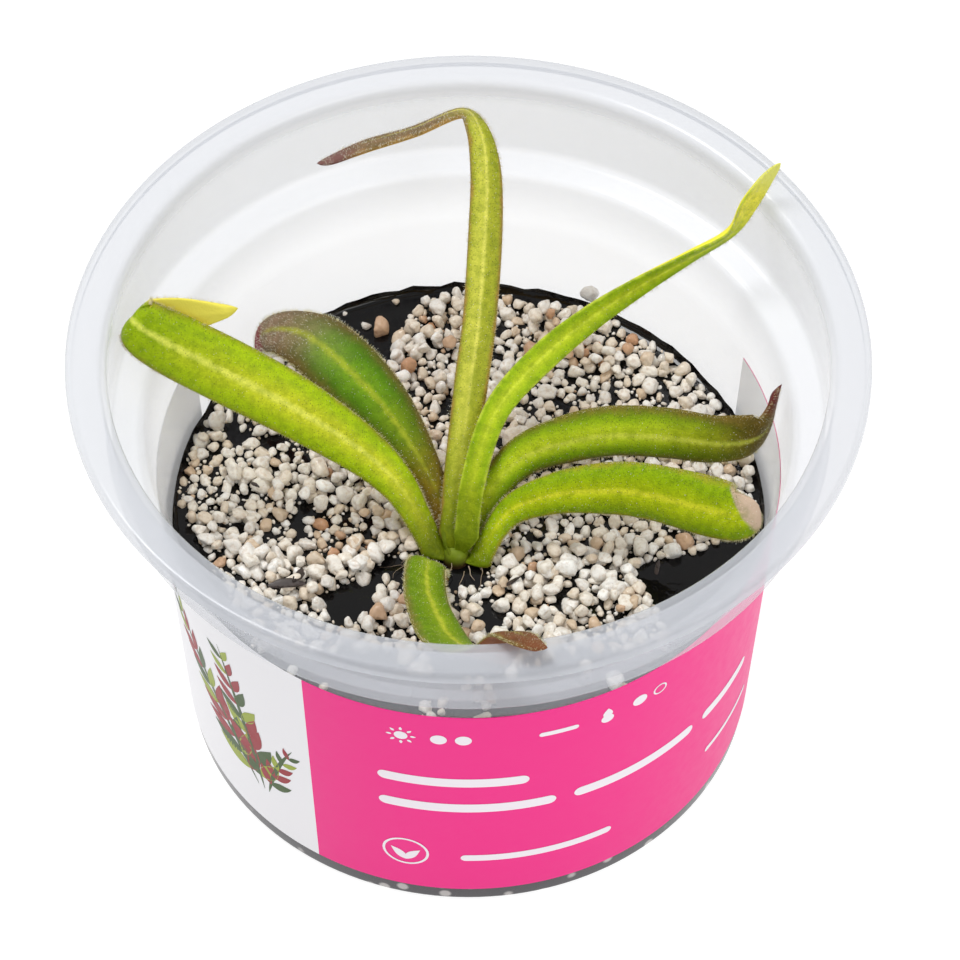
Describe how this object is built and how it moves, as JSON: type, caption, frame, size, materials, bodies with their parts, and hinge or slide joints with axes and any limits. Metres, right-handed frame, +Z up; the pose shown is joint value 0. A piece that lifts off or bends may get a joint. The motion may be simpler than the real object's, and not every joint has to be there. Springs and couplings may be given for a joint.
{
  "type": "potted butterwort",
  "caption": "Butterwort rosette of strap leaves growing in dark gel with a perlite crust, inside a milky round plastic culture cup with a plain label.",
  "frame": {"origin": "centre of the cup's flat bottom, on the cup's axis", "axes": "+Z up along the cup's axis, -Y towards the front of the label"},
  "size_m": [0.1, 0.1, 0.0732],
  "materials": {
    "cup_plastic": "thin milky translucent plastic, smooth",
    "label_film": "printed film, satin, white panel and pink panel",
    "dark_gel": "wet glossy black growing gel",
    "perlite_stone": "pale rough grains, damp",
    "crown_green": "soft living stem",
    "leaf_left_green": "living leaf, lime, fine glands",
    "leaf_left_back_green": "living leaf, deep green with purple end, fine glands",
    "leaf_back_green": "living leaf, yellow green with dark specks, fine glands",
    "leaf_right_back_green": "living leaf, bright green, fine glands",
    "leaf_right_green": "living leaf, green with olive brown margin, fine glands",
    "leaf_right_front_green": "living leaf, lime, dry tan tip, fine glands",
    "leaf_front_green": "living leaf, green with brown tip, fine glands"
  },
  "bodies": {
    "root": {"cup": "cup_plastic", "label": "label_film", "growing_gel": "dark_gel", "perlite": "perlite_stone", "crown": "crown_green", "leaf_left": "leaf_left_green", "leaf_left_back": "leaf_left_back_green", "leaf_back": "leaf_back_green", "leaf_right_back": "leaf_right_back_green", "leaf_right": "leaf_right_green", "leaf_right_front": "leaf_right_front_green", "leaf_front": "leaf_front_green"}
  },
  "joints": []
}
